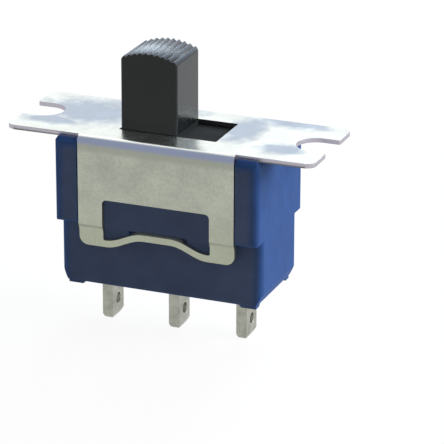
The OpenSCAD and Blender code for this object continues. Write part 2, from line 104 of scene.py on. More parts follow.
class SWITCH_PG_frame(bpy.types.PropertyGroup):
    sheet: length("Sheet", "Thickness of the sheet", 0.3)
    fold: length("Fold radius", "Outer radius of the two folds", 0.4)
    ear_width: length("Ear width", "Width of the mounting ears", 7.26)
    ear_corner: length("Ear corner", "Corner radius of the mounting ears", 0.55)
    slot_spacing: length("Slot spacing", "Distance between the mounting slots' round ends", 18.74)
    slot_width: length("Slot width", "Width of each mounting slot", 2.62)
    slot_lip: length("Slot lip", "Rounding at the mouth of each slot", 0.12)
    side: length("Side length", "Length of each folded side", 10.66)
    side_corner: length("Side corner", "Corner radius at the foot of each side", 0.6)
    opening: length("Opening length", "Length of the opening in each side", 7.34)
    opening_top: length("Opening top", "Depth of the opening's top edge", 4.15)
    opening_corner: length("Opening corner", "Upper corner radius of the opening", 0.3)
    opening_lower_corner: length("Opening lower corner", "Lower corner radius of the opening", 0.12)
    strap: length("Strap height", "Height of the strap under each opening", 0.45)
    arch_rise: length("Arch rise", "Rise of the arch in the strap", 0.74)
    arch_crown: length("Arch crown", "Length of the flat top of the arch", 1.8)
    arch_land: length("Arch land", "Flat left between the arch and each end of the opening", 0.17)
    crimp: length("Crimp", "Inward set of the sides below the case's ledge", 0.16)
    crimp_depth: length("Crimp depth", "Depth where the inward set begins", 5.96)
    crimp_height: length("Crimp height", "Height over which the sides step inward", 0.45)
    window: length("Window length", "Length of the knob's window", 6.66)
    window_width: length("Window width", "Width of the knob's window", 3.84)
    window_corner: length("Window corner", "Corner radius of the knob's window", 0.07)
    edge: length("Edge rounding", "Rounding of the sheared edges", 0.065)


class SWITCH_PG_moulding(bpy.types.PropertyGroup):
    edge: length("Edge rounding", "Rounding of the case's moulded edges", 0.07)
    seal_corner: length("Seal corner", "Corner radius of the recess that holds the resin", 0.3)
    seal_dip: length("Seal dip", "Depth by which the resin's face sinks away from the walls", 0.1)
    seal_reach: length("Seal reach", "Distance from a wall over which most of the dip is reached", 0.16)
    seal_mesh: length("Seal mesh", "Spacing of the points on the resin's face", 0.1)
    foot: length("Foot length", "How far each corner foot's root reaches over the resin, along", 0.74)
    foot_width: length("Foot width", "How far each corner foot's root reaches over the resin, across", 0.41)


class SWITCH_PG_knob(bpy.types.PropertyGroup):
    size: length("Length", "Length of the knob along its travel", 3.86)
    width: length("Width", "Width of the knob", 3.68)
    shoulder: length("Shoulder height", "Height of the knob's end edges above the panel face", 4.8)
    crown: length("Crown", "Rise of the arched top", 0.46)
    ridges: IntProperty(
        name="Ridges", description="Number of ridges across the top", default=10, min=3, max=20)
    groove: length("Groove depth", "Depth of the grooves between the ridges", 0.16)
    corner: length("Corner radius", "Radius of the knob's upright edges", 0.15)
    flange: length("Flange", "Thickness of the sliding flange", 1.1)
    flange_top: length("Flange depth", "Depth of the flange's top face", 0.36)
    flange_corner: length("Flange corner", "Corner radius of the sliding flange", 0.3)
    housing: length("Housing length", "Length of the spring housing", 3.0)
    housing_width: length("Housing width", "Width of the spring housing", 3.0)
    bore: length("Bore radius", "Radius of the bore for spring and plunger", 0.8)
    edge: length("Edge rounding", "Rounding of the knob's small edges", 0.03)


class SWITCH_PG_spring(bpy.types.PropertyGroup):
    turns: amount("Turns", "Number of turns, closed ends included", 11, 4, 30)
    closed: amount("Closed turns", "Turns that lie closed at each end", 1.5, 0.5, 3)
    wire: length("Wire", "Diameter of the wire", 0.2)


class SWITCH_PG_metal(bpy.types.PropertyGroup):
    edge: length("Edge rounding", "Rounding of stamped and turned edges", 0.04)


class SWITCH_PG_terminals(bpy.types.PropertyGroup):
    thickness: length("Thickness", "Thickness of the terminals", 0.78)
    width: length("Width", "Width of the terminals", 1.68)
    tip_corner: length("Tip corner", "Corner radius of the tips", 0.3)
    bevel_width: length("Bevel width", "Width of the bevels on the tips' faces", 0.16)
    bevel_height: length("Bevel height", "Height of the bevels on the tips' faces", 0.32)
    hole: length("Wire hole", "Radius of the wire holes", 0.36)
    hole_height: length("Hole height", "Distance from a wire hole's centre to the tip", 1.24)
    shank: length("Rivet hole", "Radius of the hole for a contact's shank", 0.3)
    edge: length("Edge rounding", "Rounding of the stamped edges", 0.05)


class SWITCH_PG_finish(bpy.types.PropertyGroup):
    # The sides' tone is a darker copy of the face's plating: painted shade on the folded sides.
    tin: colour("Plated sides", "Straw tone of the frame's folded sides", (0.37, 0.392, 0.33))
    face: colour("Plated face", "Bright tone of the frame's panel face", (0.85, 0.895, 0.86))
    # Painted reflections: blue-grey patches on the panel face.
    reflection_patches: colour("Face haze", "Blue-grey patches on the frame's panel face", (0.4, 0.475, 0.585))
    shear: colour("Sheared steel", "Cut edges of the frame", (0.52, 0.49, 0.56))
    blue: colour("Blue moulding", "Case", (0.01, 0.086, 0.355))
    # Painted light: a brighter blue for light shining through the case's thin edges.
    blue_edge_glow: colour("Blue edges", "Thin edges of the case, which let light through", (0.008, 0.12, 0.45))
    # Painted shade: a greyer copy of the blue for the case's long sides.
    side_shade: colour("Case film", "Dull film on the case's long sides", (0.092, 0.142, 0.31))
    black: colour("Black nylon", "Knob", (0.014, 0.018, 0.02))
    wire: colour("Spring steel", "Contact spring", (0.55, 0.55, 0.56))
    acetal: colour("Acetal", "Plunger", (0.76, 0.73, 0.63))
    copper: colour("Copper alloy", "Rocker", (0.75, 0.47, 0.3))
    silver: colour("Silver", "Contacts", (0.85, 0.84, 0.81))
    lug: colour("Tinned lug", "Terminals", (0.37, 0.378, 0.325))
    resin: colour("Resin", "Terminal seal", (0.035, 0.03, 0.027))


class SWITCH_PG_stage(bpy.types.PropertyGroup):
    azimuth: turned_by("Azimuth", "Camera's turn from the front towards the right end", 21.683)
    elevation: turned_by("Elevation", "Camera's height above the horizon", 20.647)
    roll: turned_by("Roll", "Camera's lean", 0.167)
    distance: length("Distance", "Camera's distance from its aim", 188.4)
    lens: FloatProperty(name="Lens", description="Focal length", default=239.6, min=20, unit="CAMERA")
    floor: colour("Floor", "Colour of the floor", (0.4, 0.36, 0.26))
    white: amount("Floor white", "White added to the floor where it is seen", 0.93, 0, 1)
    shadow: amount("Shadow", "Share of the floor's shading that is seen", 0.12, 0, 1)
    room: amount("Room light", "Strength of the room's soft light", 0.06, 0, 10)
    key: amount("Key lamp", "Power of the lamp to the right", 1.15, 0, 100)
    back: amount("Back lamp", "Power of the lamp behind", 1.2, 0, 100)
    side: amount("Side lamp", "Power of the lamp behind to the left", 0.2, 0, 100)


class SWITCH_PG_all(bpy.types.PropertyGroup):
    frame: PointerProperty(type=SWITCH_PG_frame)
    moulding: PointerProperty(type=SWITCH_PG_moulding)
    knob: PointerProperty(type=SWITCH_PG_knob)
    spring: PointerProperty(type=SWITCH_PG_spring)
    metal: PointerProperty(type=SWITCH_PG_metal)
    terminals: PointerProperty(type=SWITCH_PG_terminals)
    finish: PointerProperty(type=SWITCH_PG_finish)
    stage: PointerProperty(type=SWITCH_PG_stage)


# ---- Node trees ----


def arithmetic(operation):
    """A method of a number that feeds it, and any other numbers, into a new node for one sum."""
    return lambda number, *others: number.tree.math(operation, number, *others)


class Number:
    """A number inside a node tree, which takes plain arithmetic."""

    __add__ = arithmetic("ADD")
    __sub__ = arithmetic("SUBTRACT")
    __mul__ = arithmetic("MULTIPLY")
    __truediv__ = arithmetic("DIVIDE")
    __abs__ = arithmetic("ABSOLUTE")
    at_least = arithmetic("MAXIMUM")
    at_most = arithmetic("MINIMUM")
    sign = arithmetic("SIGN")
    root = arithmetic("SQRT")
    sine = arithmetic("SINE")
    cosine = arithmetic("COSINE")
    zigzag = arithmetic("PINGPONG")

    def __init__(self, tree, socket):
        self.tree = tree
        self.socket = socket

    def __rsub__(self, other):
        return self.tree.math("SUBTRACT", other, self)

    def ramp(self, low, high, to_low=0.0, to_high=1.0):
        """The number rescaled from one range to another, and held within it."""
        return self.tree.number("ShaderNodeMapRange", "Result", {
            "Value": self, "From Min": low, "From Max": high, "To Min": to_low, "To Max": to_high})


class Tree:
    """Adds nodes to a tree and joins them by socket name."""

    def __init__(self, tree):
        self.nodes = tree.nodes
        self.links = tree.links

    def node(self, kind, inputs=None, **settings):
        made = self.nodes.new(kind)
        for name, value in settings.items():
            setattr(made, name, value)
        for name, value in (inputs or {}).items():
            self.feed(made.inputs[name], value)
        return made

    def feed(self, socket, value):
        if isinstance(value, Number):
            value = value.socket
        if isinstance(value, bpy.types.NodeSocket):
            self.links.new(value, socket)
        else:
            socket.default_value = value

    def number(self, kind, output, inputs=None, **settings):
        """One output of a new node as a number."""
        return Number(self, self.node(kind, inputs, **settings).outputs[output])

    def math(self, operation, *values):
        return self.number("ShaderNodeMath", 0, dict(enumerate(values)), operation=operation)

    def parts(self, vector):
        """The three numbers of a vector."""
        return [Number(self, part) for part in self.node("ShaderNodeSeparateXYZ", {"Vector": vector}).outputs]

    def vector(self, x=0.0, y=0.0, z=0.0):
        return self.node("ShaderNodeCombineXYZ", {"X": x, "Y": y, "Z": z}).outputs[0]

    def mix(self, factor, first, second):
        """A colour between two colours."""
        factor_in, first_in, second_in, colour_out = 0, 6, 7, 2
        mixed = self.node("ShaderNodeMix", {factor_in: factor, first_in: first, second_in: second},
                          data_type="RGBA")
        return mixed.outputs[colour_out]

    def moved(self, geometry, place, chosen=True):
        """Geometry with its chosen points in their new places."""
        return self.node("GeometryNodeSetPosition", {
            "Geometry": geometry, "Selection": chosen, "Position": place}).outputs[0]


def rgba(rgb, gain=1.0):
    return tuple(min(1.0, c * gain) for c in rgb) + (1.0,)


class Finish(Tree):
    """A procedural finish whose patterns lie on the piece's own coordinates, in millimetres."""

    def __init__(self, name):
        self.material = bpy.data.materials.new(name)
        self.material.use_nodes = True
        super().__init__(self.material.node_tree)
        self.shader = self.nodes["Principled BSDF"]
        self.place = self.node("ShaderNodeTexCoord").outputs["Object"]

    def stretched(self, x=1.0, y=1.0, z=1.0):
        """Coordinates in millimetres, stretched by the given factors."""
        return self.node("ShaderNodeMapping", {
            "Vector": self.place, "Scale": (x / MM, y / MM, z / MM)}).outputs["Vector"]

    def noise(self, scale, detail=3.0, rough=0.5, vector=None, distortion=0.0):
        return self.number("ShaderNodeTexNoise", "Fac", {
            "Vector": vector or self.stretched(), "Scale": scale, "Detail": detail,
            "Roughness": rough, "Distortion": distortion})

    def patch(self, x, y, reach_x, reach_y):
        """A soft patch with a ragged edge about a place, all in millimetres: 1 in its middle, 0 outside."""
        about = self.node("ShaderNodeMapping", {
            "Vector": self.place, "Location": (-x / reach_x, -y / reach_y, 0.0),
            "Scale": (1 / (MM * reach_x), 1 / (MM * reach_y), 0.0)}).outputs["Vector"]
        reach = self.number("ShaderNodeVectorMath", "Value", {"Vector": about}, operation="LENGTH")
        ragged = reach + self.noise(0.9, 4.0, 0.6).ramp(0.2, 0.8, -0.28, 0.28)
        return ragged.ramp(0.5, 1.1, 1.0, 0.0)

    def mark(self, name):
        """The share, 0 to 1, marked on the piece's faces or corners under a name."""
        return self.number("ShaderNodeAttribute", "Fac", attribute_name=name)

    def bump(self, height, depth, below=None):
        """Relief of the given depth in millimetres."""
        made = self.node("ShaderNodeBump", {"Height": height, "Distance": depth * MM, "Strength": 1.0})
        if below is not None:
            self.feed(made.inputs["Normal"], below)
        return made.outputs["Normal"]

    def set(self, **inputs):
        for name, value in inputs.items():
            self.feed(self.shader.inputs[name.replace("_", " ")], value)


def plated_sheet(name, colours, fold_at, crimp_at):
    """Bright plated sheet: straw and grainy on its sides, in a darker copy of the plating that paints shade,
    white on its face with blue-grey patches of painted reflection, a painted dark reflection along the folds,
    grey where sheared."""
    made = Finish(name)
    clouds = made.noise(0.45, 4.0, 0.6)
    grain_lines = made.noise(1.0, 5.0, 0.65, made.stretched(1.2, 16.0, 16.0))
    fine = made.noise(14.0, 3.0)
    grain = made.noise(5.5, 4.0, 0.75)
    x, y, z = made.parts(made.place)
    cut = made.mark("cut")

    mottling = (clouds + grain * 0.8).ramp(0.65, 1.15)
    straw = made.mix(mottling, rgba(colours.tin, 0.85), rgba(colours.tin, 1.17))
    # Painted shade on the sides just below the folds.
    shade_under_fold = z.ramp(-1.15 * MM, -0.85 * MM, 0.0, 0.75)
    straw = made.mix(shade_under_fold, straw, rgba((0.28, 0.295, 0.25)))
    foot_band = z.ramp(-7.0 * MM, -4.0 * MM, 0.55, 0.0)
    straw = made.mix(foot_band, straw, rgba((0.36, 0.378, 0.275)))
    # Painted shade along the crimp's bend, broken up by the clouds.
    crimp_shade = abs(z + crimp_at).ramp(0.04 * MM, 0.13 * MM, 1.0, 0.0) * clouds.ramp(0.35, 0.6, 0.25, 0.8)
    straw = made.mix(crimp_shade, straw, rgba((0.2, 0.21, 0.17)))

    # Blue-grey patches where the panel face reflects darker surroundings: painted reflections.
    reflection_patches = made.patch(-6.4, 0.7, 4.2, 2.9)  # between the window and the left ear's slot
    for other in (made.patch(-2.8, 3.0, 4.2, 1.1),  # along the rear edge on the left
                  made.patch(4.2, 1.0, 1.5, 3.2),  # beside the window's right end
                  made.patch(6.6, 3.4, 3.2, 1.3),  # along the rear edge on the right
                  made.patch(7.6, -1.6, 1.8, 1.2),  # between the window and the right ear's slot
                  made.patch(-8.2, -1.7, 2.4, 1.0)):  # in front of the left ear's slot
        reflection_patches = reflection_patches.at_least(other)
    face = made.mix(clouds.ramp(0.35, 0.7), rgba(colours.face, 0.95), rgba(colours.face, 1.03))
    face = made.mix(reflection_patches * fine.ramp(0.2, 0.6, 0.8, 1.0), face, rgba(colours.reflection_patches))
    # The folded sides take a darker straw copy of the panel face's plating: painted shade on the sides.
    on_face = z.ramp(-0.2 * MM, -0.06 * MM)
    plate = made.mix(on_face, straw, face)
    # Painted dark reflection: a blue-grey band along the folds.
    fold_reflection = abs(y).ramp(fold_at + 0.23 * MM, fold_at + 0.3 * MM) * z.ramp(-0.66 * MM, -0.42 * MM)
    plate = made.mix(fold_reflection * 0.9, plate, rgba((0.23, 0.265, 0.39)))

    sheared = made.mix(z.ramp(-1.2 * MM, -0.6 * MM), rgba(colours.tin, 0.9), rgba(colours.shear))
    plate = made.mix(cut, plate, made.mix(fine * 0.4, sheared, rgba((0.2, 0.2, 0.2))))
    # Painted shade on the window's cut walls.
    window_shade = abs(x).ramp(3.7 * MM, 3.6 * MM) * abs(y).ramp(2.2 * MM, 2.1 * MM)
    plate = made.mix(window_shade * cut, plate, rgba((0.09, 0.09, 0.1)))
    # Rounded edges lighter: edge wear, and painted light on the edges.
    edge_wear_and_light = made.mark("edge_wear_and_light") * fine.ramp(0.35, 0.6)
    plate = made.mix(edge_wear_and_light * 0.5, plate, rgba(colours.tin, 1.5))

    rough = clouds.ramp(0.3, 0.7, 0.17, 0.26) + grain_lines.ramp(0.3, 0.7, 0.0, 0.06) + cut * 0.2
    waves = made.noise(0.32, 1.0, 0.4, made.stretched(1.0, 1.3, 1.0))
    relief = made.bump(fine, 0.0012, made.bump(grain_lines, 0.0035, made.bump(waves, 0.06)))
    made.set(Base_Color=plate, Metallic=1.0, Roughness=rough, Normal=relief)
    return made.material


def moulded(name, rgb, rough, texture, gloss, speck=0.9, edge_wear_and_light_rgb=None, side_shade=None, scuffed=0.0,
            crest_light_rgb=None):
    """Moulded plastic: a fine spark-eroded texture, faint flow clouds, rounded edges of a paler or given tone
    for edge wear and painted edge light. Painted shade may grey the faces marked for it, scuffs roughen it
    below the panel face, and painted light makes its crests pale."""
    made = Finish(name)
    flow = made.noise(0.35, 3.0, 0.55, distortion=0.6)
    eroded = made.noise(11.0, 3.0, 0.6)
    scuffs = made.noise(0.8, 5.0, 0.7, made.stretched(0.7, 2.2, 0.9))
    x, _, z = made.parts(made.place)
    body = made.mix(flow.ramp(0.35, 0.7), rgba(rgb, speck), rgba(rgb, 2.0 - speck))
    if side_shade:
        side_shade_rgb, (end, top) = side_shade
        inside = abs(x).ramp(end - 0.15 * MM, end - 0.8 * MM) * z.ramp(top - 0.2 * MM, top - 0.8 * MM)
        # The marked long sides take a greyer copy of the blue, away from the edges: painted shade.
        side_shade_mask = made.mark("side_shade") * inside * eroded.ramp(0.3, 0.6, 0.85, 1.0)
        body = made.mix(side_shade_mask, body, made.mix(flow, rgba(side_shade_rgb, 0.9), rgba(side_shade_rgb, 1.1)))
    rough = (scuffs * 0.6 + eroded * 0.4).ramp(0.35, 0.65, *rough)
    if scuffed:
        rough = rough + z.ramp(-0.1 * MM, 0.05 * MM, scuffed, 0.0)
    # Painted light on the crests, fading into the grooves, with a little more roughness.
    if crest_light_rgb:
        crest_light = made.mark("crest_light") * scuffs.ramp(0.3, 0.6, 0.85, 1.0)
        body = made.mix(crest_light, body, rgba(crest_light_rgb))
        rough = rough + crest_light * 0.1
    # Rounded edges take the edge tone: edge wear, and painted light on the edges.
    edge_wear_and_light = made.mark("edge_wear_and_light") * scuffs.ramp(0.4, 0.65, 0.15, 0.6)
    pale = edge_wear_and_light_rgb or tuple(0.72 * c + 0.06 for c in rgb)
    made.set(Base_Color=made.mix(edge_wear_and_light, body, rgba(pale)), Metallic=0.0, Roughness=rough,
             Specular_IOR_Level=gloss, Normal=made.bump(eroded, texture, made.bump(flow, texture * 4)))
    return made.material


def strip_metal(name, rgb, rough, stain_rgb, relief, stretch, bore_light_rgb=None):
    """Rolled or turned metal: fine lines along one direction, faint stains, edges brightened by wear and
    painted edge light, and painted light on the wire holes' walls where they are marked."""
    made = Finish(name)
    lines = made.noise(1.0, 5.0, 0.6, made.stretched(*stretch))
    stains = made.noise(1.3, 5.0, 0.7)
    fine = made.noise(12.0, 2.0)
    body = made.mix(stains.ramp(0.42, 0.7, 0.0, 0.6), rgba(rgb), rgba(stain_rgb))
    # Painted light on the marked walls of the wire holes.
    if bore_light_rgb:
        body = made.mix(made.mark("bore_light"), body, rgba(bore_light_rgb))
    # Rounded edges brighter: edge wear and painted edge light.
    made.set(Base_Color=made.mix(made.mark("edge_wear_and_light") * 0.5, body, rgba(rgb, 1.35)), Metallic=1.0,
             Roughness=(lines * 0.5 + stains * 0.5).ramp(0.3, 0.7, rough - 0.06, rough + 0.1),
             Normal=made.bump(fine, relief * 0.4, made.bump(lines, relief)))
    return made.material


def cast_resin(name, rgb):
    """Cast resin: glossy, gently uneven, with a few fine bubbles and dust."""
    made = Finish(name)
    swell = made.noise(0.6, 2.0, 0.5)
    dust = made.noise(16.0, 2.0)
    cells = made.number("ShaderNodeTexVoronoi", "Distance", {"Vector": made.stretched(), "Scale": 2.6})
    pits = cells.ramp(0.05, 0.1)
    dusty = rgba(tuple(c * 1.8 + 0.02 for c in rgb))
    made.set(Base_Color=made.mix(dust.ramp(0.5, 0.75, 0.0, 0.5), rgba(rgb), dusty), Metallic=0.0,
             Roughness=dust.ramp(0.3, 0.7, 0.14, 0.3), Specular_IOR_Level=0.5,
             Normal=made.bump(pits, 0.015, made.bump(swell, 0.04)))
    return made.material


# ---- Making and finishing meshes ----


def new_object(name, data):
    made = bpy.data.objects.new(name, data)
    bpy.context.scene.collection.objects.link(made)
    return made


def piece(name, bm, material):
    """A new object at the origin from a bmesh, which is used up, in one finish."""
    mesh = bpy.data.meshes.new(name)
    bm.to_mesh(mesh)
    bm.free()
    mesh.materials.append(material)
    return new_object(name, mesh)


def one_finish(made, material):
    made.data.materials.clear()
    made.data.materials.append(material)
    made.data.polygons.foreach_set("material_index", [0] * len(made.data.polygons))


def mark_faces(made, mark, rule):
    """Marks each face that a rule picks with 1 and the others with 0, for a finish to read."""
    layer = made.data.attributes.new(mark, "FLOAT", "FACE")
    for face, value in zip(made.data.polygons, layer.data):
        value.value = float(rule(face))


def settle(made):
    """Turns a piece's modifiers into plain mesh."""
    bpy.context.view_layer.update()
    graph = bpy.context.evaluated_depsgraph_get()
    mesh = bpy.data.meshes.new_from_object(made.evaluated_get(graph), depsgraph=graph)
    made.modifiers.clear()
    made.data = mesh
    return made


def modified(made, kind, **settings):
    """Applies one of Blender's modifiers to a piece."""
    modifier = made.modifiers.new(kind, kind)
    for name, value in settings.items():
        setattr(modifier, name, value)
    return settle(made)


def smooth(made, angle=38):
    """Smooth shading between edges sharper than an angle."""
    made.data.shade_smooth()
    made.data.set_sharp_from_angle(angle=math.radians(angle))
    return made


def round_edges(made, width, segments=2, angle=32):
    """Rounds a piece's sharp edges, marks the rounded faces for edge wear and painted edge light, and shades
    the flat ones flat.
    """
    while len(made.data.materials) < 2:
        made.data.materials.append(made.data.materials[0])
    modified(made, "BEVEL", width=width, segments=segments, limit_method="ANGLE",
             angle_limit=math.radians(angle), use_clamp_overlap=True, material=1)
    mark_faces(made, "edge_wear_and_light", lambda face: face.material_index == 1)
    one_finish(made, made.data.materials[0])
    return modified(smooth(made), "WEIGHTED_NORMAL", keep_sharp=True)


def cad_copy(node):
    """A bmesh of a CAD node's surface with its triangles merged into whole faces."""
    bm = bmesh.new()
    bm.from_mesh(frame["nodes"][node].data)
    bmesh.ops.remove_doubles(bm, verts=bm.verts, dist=TOUCHING)
    bmesh.ops.dissolve_limit(bm, angle_limit=math.radians(0.6), verts=bm.verts, edges=bm.edges,
                             use_dissolve_boundaries=False)
    bmesh.ops.recalc_face_normals(bm, faces=bm.faces)
    return bm


def refined(node, name, material, width, body, slot, segments=2):
    """A CAD node's shape with rounded edges and its finish, in the node's place."""
    made = round_edges(piece(name, cad_copy(node), material), width, segments)
    return put(made, body, slot, node)


def put(made, body, slot, *nodes):
    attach(made, body)
    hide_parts(*nodes)
    return made


def filleted(corners, steps=6):
    """A closed outline from (x, y, radius) corners, with each corner turned into an arc."""
    points = []
    for i, (x, y, radius) in enumerate(corners):
        here = Vector((x, y))
        before = (Vector(corners[i - 1][:2]) - here).normalized()
        after = (Vector(corners[(i + 1) % len(corners)][:2]) - here).normalized()
        if radius <= 0:
            points.append(here)
            continue
        half = before.angle(after) / 2
        centre = here + (before + after).normalized() * (radius / math.sin(half))
        start = here + before * (radius / math.tan(half)) - centre
        sweep = start.angle_signed(here + after * (radius / math.tan(half)) - centre)
        for k in range(steps + 1):
            turned = start.copy()
            turned.rotate(Matrix.Rotation(-sweep * k / steps, 2))
            points.append(centre + turned)
    return points


def sheet_with_holes(outline, holes, inner=()):
    """A flat bmesh sheet with an outline and holes. Inner points make it triangles, and fill its holes."""
    points, loops = [], []
    for loop in [outline, *holes]:
        loops.append(range(len(points), len(points) + len(loop)))
        points += [Vector(p) for p in loop]
    points += inner
    triangles, whole_faces = 1, 5
    flat, _, faces, *_ = delaunay_2d_cdt(points, [], loops, triangles if inner else whole_faces, 1e-9)
    bm = bmesh.new()
    made = [bm.verts.new((p.x, p.y, 0)) for p in flat]
    for face in faces:
        bm.faces.new([made[i] for i in face])
    for face in bm.faces:
        if face.normal.z < 0:
            face.normal_flip()
    return bm


def divided(outline, step):
    """A closed outline with points added, so that no edge of it is longer than a step."""
    points = []
    for here, there in zip(outline, outline[1:] + outline[:1]):
        parts = max(1, math.ceil((there - here).length / step))
        points += [here.lerp(there, i / parts) for i in range(parts)]
    return points


def past_box(point, low, high, radius=0.0):
    """Distance from a point to a box with round corners, all in a plane, negative inside the box."""
    x, y = (max(low[i] - point[i], point[i] - high[i]) + radius for i in (0, 1))
    return math.hypot(max(x, 0.0), max(y, 0.0)) + min(max(x, y), 0.0) - radius


def divide_sheet(bm, heights):
    """Divides a flat sheet's faces along lines at some heights in Y."""
    for y in heights:
        bmesh.ops.bisect_plane(bm, geom=bm.verts[:] + bm.edges[:] + bm.faces[:], dist=1e-9,
                               plane_co=(0, y, 0), plane_no=(0, 1, 0))


def solid(bm, place):
    """Makes a flat sheet a closed solid. A rule gives the place of each of its points from the point in the
    sheet and whether it is on the upper face."""
    raised = bmesh.ops.extrude_face_region(bm, geom=bm.faces[:], use_keep_orig=True)
    upper = {v for v in raised["geom"] if isinstance(v, bmesh.types.BMVert)}
    for v in bm.verts:
        v.co = place(v.co, v in upper)
    bmesh.ops.remove_doubles(bm, verts=bm.verts, dist=TOUCHING)
    bmesh.ops.recalc_face_normals(bm, faces=bm.faces)
    return bm


def prism(outline, low, high):
    """A closed bmesh prism from an outline in X and Y."""
    bm = bmesh.new()
    bm.faces.new([bm.verts.new((x, y, low)) for x, y in outline])
    return solid(bm, lambda point, upper: (point.x, point.y, high if upper else low))


def box_outline(x0, x1, y0, y1, radius, steps=5):
    return filleted([(x0, y0, radius), (x1, y0, radius), (x1, y1, radius), (x0, y1, radius)], steps)


def ring(x, y, radius, sides):
    """Points round a circle."""
    return [(x + radius * math.cos(a), y + radius * math.sin(a))
            for a in (2 * math.pi * i / sides for i in range(sides))]


def combine(made, other, operation):
    """Joins or cuts one closed piece with another, which is used up."""
    modified(made, "BOOLEAN", operation=operation, solver="EXACT", object=other)
    bpy.data.objects.remove(other)


# ---- Geometry Nodes ----


def run_tree(made, name, shape, sizes, material):
    """Builds a shape's geometry tree with a named input for each size, runs it on a piece and keeps the plain
    mesh."""
    group = bpy.data.node_groups.new(name, "GeometryNodeTree")
    group.interface.new_socket("Geometry", in_out="OUTPUT", socket_type="NodeSocketGeometry")
    group.interface.new_socket("Geometry", in_out="INPUT", socket_type="NodeSocketGeometry")
    for size, value in sizes.items():
        kind = "NodeSocketInt" if isinstance(value, int) else "NodeSocketFloat"
        group.interface.new_socket(size, in_out="INPUT", socket_type=kind)
    group.interface.new_socket("Material", in_out="INPUT", socket_type="NodeSocketMaterial")
    tree = Tree(group)
    source = {socket.name: Number(tree, socket) for socket in tree.node("NodeGroupInput").outputs}
    real = tree.node("GeometryNodeRealizeInstances", {"Geometry": shape(tree, source)})
    painted = tree.node("GeometryNodeSetMaterial", {
        "Geometry": real.outputs[0], "Material": source["Material"]})
    tree.node("NodeGroupOutput", {"Geometry": painted.outputs[0]})
    step = made.modifiers.new(name, "NODES")
    step.node_group = group
    values = dict(sizes, Material=material)
    for item in group.interface.items_tree:
        if item.in_out == "INPUT" and item.name in values:
            step[item.identifier] = values[item.name]
    settle(made)
    one_finish(made, material)


def folded_blank(tree, source):
    """A flat blank folded down along two lines, with its sides set inward below the case's ledge."""
    x, y, _ = tree.parts(tree.node("GeometryNodeInputPosition").outputs[0])
    radius, line = source["Fold radius"], source["Fold line"]
    past = (abs(y) - line).at_least(0.0)
    angle = (past / radius).at_most(math.pi / 2)
    below = (past - radius * (math.pi / 2)).at_least(0.0)
    drop = below + radius * (1.0 - angle.cosine())
    out = abs(y).at_most(line) + radius * angle.sine()
    share = ((drop - source["Crimp depth"]) / source["Crimp height"]).ramp(0.0, 1.0)
    out = out - share * source["Crimp"]
    return tree.moved(source["Geometry"], tree.vector(x, out * y.sign(), drop * -1.0))


def ridged_grip(tree, source):
    """A closed grip: its top follows a crown with a row of ridges, and it stands on a flat foot."""
    size, crown, ridges = source["Length"], source["Crown"], source["Ridges"]
    top = tree.node("GeometryNodeMeshGrid", {
        "Size X": size, "Size Y": source["Width"], "Vertices X": ridges * 2.0 + 1.0, "Vertices Y": 2})
    x, y, _ = tree.parts(tree.node("GeometryNodeInputPosition").outputs[0])
    half = size / 2.0
    radius = (half * half + crown * crown) / (crown * 2.0)
    arch = (radius * radius - x * x).root()
    groove = 1.0 - ((x / size + 0.5) * ridges).zigzag(0.5) * 2.0
    height = source["Shoulder"] + crown - radius + arch - groove * source["Groove"]
    upper = tree.moved(top.outputs["Mesh"], tree.vector(x, y, height))
    walls = tree.node("GeometryNodeExtrudeMesh", {
        "Mesh": upper, "Offset": tree.vector(z=-1.0), "Offset Scale": size, "Individual": False}).outputs
    lower = tree.moved(walls["Mesh"], tree.vector(x, y, source["Foot"]), walls["Top"])
    turned = tree.node("GeometryNodeFlipFaces", {"Mesh": lower})
    both = tree.node("GeometryNodeJoinGeometry")
    for part in (turned.outputs[0], upper):
        tree.links.new(part, both.inputs[0])
    closed = tree.node("GeometryNodeMergeByDistance", {"Geometry": both.outputs[0], "Distance": TOUCHING})
    return tree.node("GeometryNodeTransform", {
        "Geometry": closed.outputs[0], "Translation": tree.vector(source["Middle"])}).outputs[0]


def coil(tree, source):
    """A compression spring wound round an upright axis, with closed turns at both ends."""
    turns, closed, wire = source["Turns"], source["Closed turns"], source["Wire"]
    points_a_turn, wire_sides = 28.0, 12
    line = tree.node("GeometryNodeCurvePrimitiveLine", {"End": (0.0, 0.0, 1.0)})
    points = tree.node("GeometryNodeResampleCurve", {
        "Curve": line.outputs[0], "Count": turns * points_a_turn + 1.0})
    turn = tree.number("GeometryNodeSplineParameter", "Factor") * turns
    early = turn.at_most(closed)
    late = (turn - (turns - closed)).at_least(0.0)
    tight = wire * (closed * 2.0 + 1.0)
    pitch = (source["Length"] - tight) / (turns - closed * 2.0)
    height = (turn - early - late) * pitch + wire * (early + late + 0.5)
    angle = turn * (2 * math.pi)
    wound = tree.moved(points.outputs[0], tree.vector(
        source["Middle"] + source["Radius"] * angle.cosine(), source["Radius"] * angle.sine(),
        source["Foot"] + height))
    section = tree.node("GeometryNodeCurvePrimitiveCircle", {"Resolution": wire_sides, "Radius": wire * 0.5})
    return tree.node("GeometryNodeCurveToMesh", {
        "Curve": wound, "Profile Curve": section.outputs[0], "Fill Caps": True}).outputs[0]


# ---- Frame ----


def arch_points(s, steps=18):
    """Points along half of the strap's arch, from its foot to its middle, as (x, height)."""
    foot = s.opening / 2 - s.arch_land
    points = []
    for i in range(steps + 1):
        x = foot * (1 - i / steps)
        share = max(0.0, (x - s.arch_crown / 2) / (foot - s.arch_crown / 2))
        points.append((x, s.arch_rise * (1 + math.cos(math.pi * share)) / 2))
    return points


def mirrored(corners, axis):
    """Corners on one side of the middle, then their mirror images. A corner on the middle isn't repeated."""
    flip_x, flip_y = (-1, 1) if axis == 0 else (1, -1)
    images = [(x * flip_x, y * flip_y, radius) for x, y, radius in reversed(corners)]
    return corners + [image for image in images if abs(image[axis]) > TOUCHING]


